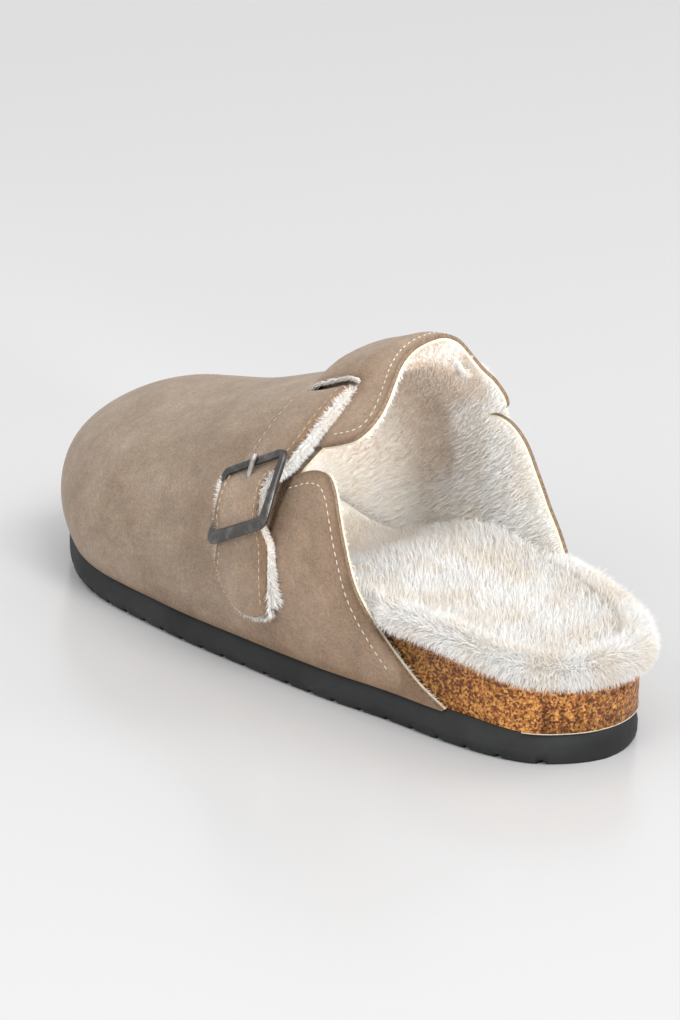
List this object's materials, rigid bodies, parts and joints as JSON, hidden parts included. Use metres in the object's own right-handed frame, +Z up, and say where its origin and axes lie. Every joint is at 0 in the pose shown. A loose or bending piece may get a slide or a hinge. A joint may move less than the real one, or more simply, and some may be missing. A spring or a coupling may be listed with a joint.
{
  "type": "clog slipper",
  "caption": "Left clog slipper: hollow suede upper, buckled instep strap, cork footbed, fleecy insole and grooved rubber sole.",
  "frame": {"origin": "on the floor under the middle of the heel, on the outsole's flat tread", "axes": "+X from heel to toe, +Y to the outer (lateral) side, +Z up"},
  "size_m": [0.26, 0.1057, 0.1046],
  "materials": {
    "outsole_rubber": "matte black foam rubber, slightly sueded",
    "cork": "sealed granular cork, brown with dark and pale grains",
    "shearling": "deep cream sheepskin pile",
    "suede": "napped taupe suede with cream cut edges and stitching",
    "buckle_metal": "dark gunmetal, satin",
    "rivet_metal": "dark antiqued metal",
    "tab_leather": "smooth tan leather"
  },
  "bodies": {
    "root": {"outsole": "outsole_rubber", "cork_footbed": "cork", "shearling_insole": "shearling", "upper": "suede", "strap": "suede", "buckle_frame": "buckle_metal", "buckle_prong": "buckle_metal", "rivet_cap": "rivet_metal", "side_tab": "tab_leather"}
  },
  "joints": []
}
